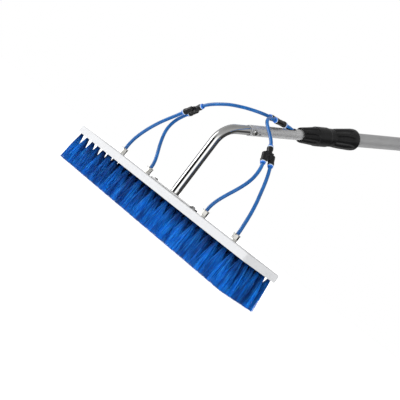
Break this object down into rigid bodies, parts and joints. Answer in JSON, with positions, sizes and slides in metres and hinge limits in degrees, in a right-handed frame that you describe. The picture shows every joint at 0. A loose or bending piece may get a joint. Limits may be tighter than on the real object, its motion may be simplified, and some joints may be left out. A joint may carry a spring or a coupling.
{
  "type": "water-fed window cleaning pole",
  "caption": "Water-fed cleaning brush on a gooseneck, with hose-fed jets, on a telescopic pole with twist-lock collars.",
  "frame": {"origin": "centre of the brush's bristle tips, on the surface that they touch", "axes": "+X along the brush, +Y towards the operator's end of the pole, +Z from the bristle tips up through the brush block"},
  "size_m": [0.6518, 1.1062, 0.8037],
  "materials": {
    "block": "moulded, satin",
    "bristle": "fine extruded filaments, flagged tips",
    "stainless": "polished with fine drawing lines",
    "fastener": "bright, lightly worn",
    "inner_tube": "satin anodised",
    "middle_tube": "satin anodised",
    "outer_tube": "matte grey anodised",
    "nozzle_nut": "nickel plated",
    "nozzle_body": "nickel plated",
    "y_body": "moulded, glossy",
    "release_collar": "moulded, semi-gloss",
    "hose": "extruded polyurethane",
    "lock_collar": "moulded, satin gloss",
    "lock_sleeve": "moulded, matte",
    "inner_plastic": "natural acetal",
    "rubber": "matte"
  },
  "bodies": {
    "head": {"brush_block": "block", "bristle_row_1": "bristle", "bristle_row_2": "bristle", "bristle_row_3": "bristle", "bristle_row_4": "bristle", "bristle_row_5": "bristle", "bristle_row_6": "bristle", "mounting_plate": "stainless", "plate_screw_left": "fastener", "plate_screw_right": "fastener", "gooseneck_tube": "stainless", "inner_tube": "inner_tube", "inner_tube_guide": "inner_plastic", "hose_grommet": "rubber", "head_bolt": "fastener", "head_bolt_nut": "fastener", "head_rivet": "fastener", "nozzle_body_left_outer": "nozzle_body", "nozzle_body_left_inner": "nozzle_body", "nozzle_body_right_inner": "nozzle_body", "nozzle_body_right_outer": "nozzle_body", "nozzle_nut_left_outer": "nozzle_nut", "nozzle_nut_left_inner": "nozzle_nut", "nozzle_nut_right_inner": "nozzle_nut", "nozzle_nut_right_outer": "nozzle_nut", "main_y_body": "y_body", "left_y_body": "y_body", "right_y_body": "y_body", "hose_feed": "hose", "hose_main_to_left": "hose", "hose_main_to_right": "hose", "hose_left_outer": "hose", "hose_left_inner": "hose", "hose_right_inner": "hose", "hose_right_outer": "hose"},
    "main_y_inlet_release": {"main_y_inlet_collar": "release_collar"},
    "main_y_outlet_a_release": {"main_y_outlet_a_collar": "release_collar"},
    "main_y_outlet_b_release": {"main_y_outlet_b_collar": "release_collar"},
    "left_y_inlet_release": {"left_y_inlet_collar": "release_collar"},
    "left_y_outlet_a_release": {"left_y_outlet_a_collar": "release_collar"},
    "left_y_outlet_b_release": {"left_y_outlet_b_collar": "release_collar"},
    "right_y_inlet_release": {"right_y_inlet_collar": "release_collar"},
    "right_y_outlet_a_release": {"right_y_outlet_a_collar": "release_collar"},
    "right_y_outlet_b_release": {"right_y_outlet_b_collar": "release_collar"},
    "middle_section": {"middle_tube": "middle_tube", "middle_tube_guide": "inner_plastic", "front_lock_sleeve": "lock_sleeve", "front_collet": "inner_plastic"},
    "front_lock": {"front_lock_collar": "lock_collar"},
    "outer_section": {"outer_tube": "outer_tube", "rear_lock_sleeve": "lock_sleeve", "rear_collet": "inner_plastic", "tail_cap": "lock_sleeve", "hand_grip": "rubber"},
    "rear_lock": {"rear_lock_collar": "lock_collar"}
  },
  "joints": [
    {"name": "inner_extension", "type": "slide", "parent": "head", "child": "middle_section", "axis": [0, 0.8957, 0.4446], "range_m": [0, 0.67]},
    {"name": "outer_extension", "type": "slide", "parent": "middle_section", "child": "outer_section", "axis": [0, 0.8957, 0.4446], "range_m": [0, 0.62]},
    {"name": "front_lock_twist", "type": "hinge", "parent": "middle_section", "child": "front_lock", "pos_m": [0, 0.25617, 0.40117], "axis": [0, 0.8957, 0.4446], "range_deg": [0, 90]},
    {"name": "rear_lock_twist", "type": "hinge", "parent": "outer_section", "child": "rear_lock", "pos_m": [0, 0.34037, 0.44296], "axis": [0, 0.8957, 0.4446], "range_deg": [0, 90]},
    {"name": "main_y_inlet_press", "type": "slide", "parent": "head", "child": "main_y_inlet_release", "axis": [0, -0.9817, -0.1903], "range_m": [0, 0.0012], "stiffness_N_per_m": 500},
    {"name": "main_y_outlet_a_press", "type": "slide", "parent": "head", "child": "main_y_outlet_a_release", "axis": [0, 0.9817, 0.1903], "range_m": [0, 0.0012], "stiffness_N_per_m": 500},
    {"name": "main_y_outlet_b_press", "type": "slide", "parent": "head", "child": "main_y_outlet_b_release", "axis": [0, 0.9817, 0.1903], "range_m": [0, 0.0012], "stiffness_N_per_m": 500},
    {"name": "left_y_inlet_press", "type": "slide", "parent": "head", "child": "left_y_inlet_release", "axis": [-0.7082, 0.0621, -0.7032], "range_m": [0, 0.0012], "stiffness_N_per_m": 500},
    {"name": "left_y_outlet_a_press", "type": "slide", "parent": "head", "child": "left_y_outlet_a_release", "axis": [0.7082, -0.0621, 0.7032], "range_m": [0, 0.0012], "stiffness_N_per_m": 500},
    {"name": "left_y_outlet_b_press", "type": "slide", "parent": "head", "child": "left_y_outlet_b_release", "axis": [0.7082, -0.0621, 0.7032], "range_m": [0, 0.0012], "stiffness_N_per_m": 500},
    {"name": "right_y_inlet_press", "type": "slide", "parent": "head", "child": "right_y_inlet_release", "axis": [0.5996, -0.1521, -0.7857], "range_m": [0, 0.0012], "stiffness_N_per_m": 500},
    {"name": "right_y_outlet_a_press", "type": "slide", "parent": "head", "child": "right_y_outlet_a_release", "axis": [-0.5996, 0.1521, 0.7857], "range_m": [0, 0.0012], "stiffness_N_per_m": 500},
    {"name": "right_y_outlet_b_press", "type": "slide", "parent": "head", "child": "right_y_outlet_b_release", "axis": [-0.5996, 0.1521, 0.7857], "range_m": [0, 0.0012], "stiffness_N_per_m": 500}
  ]
}
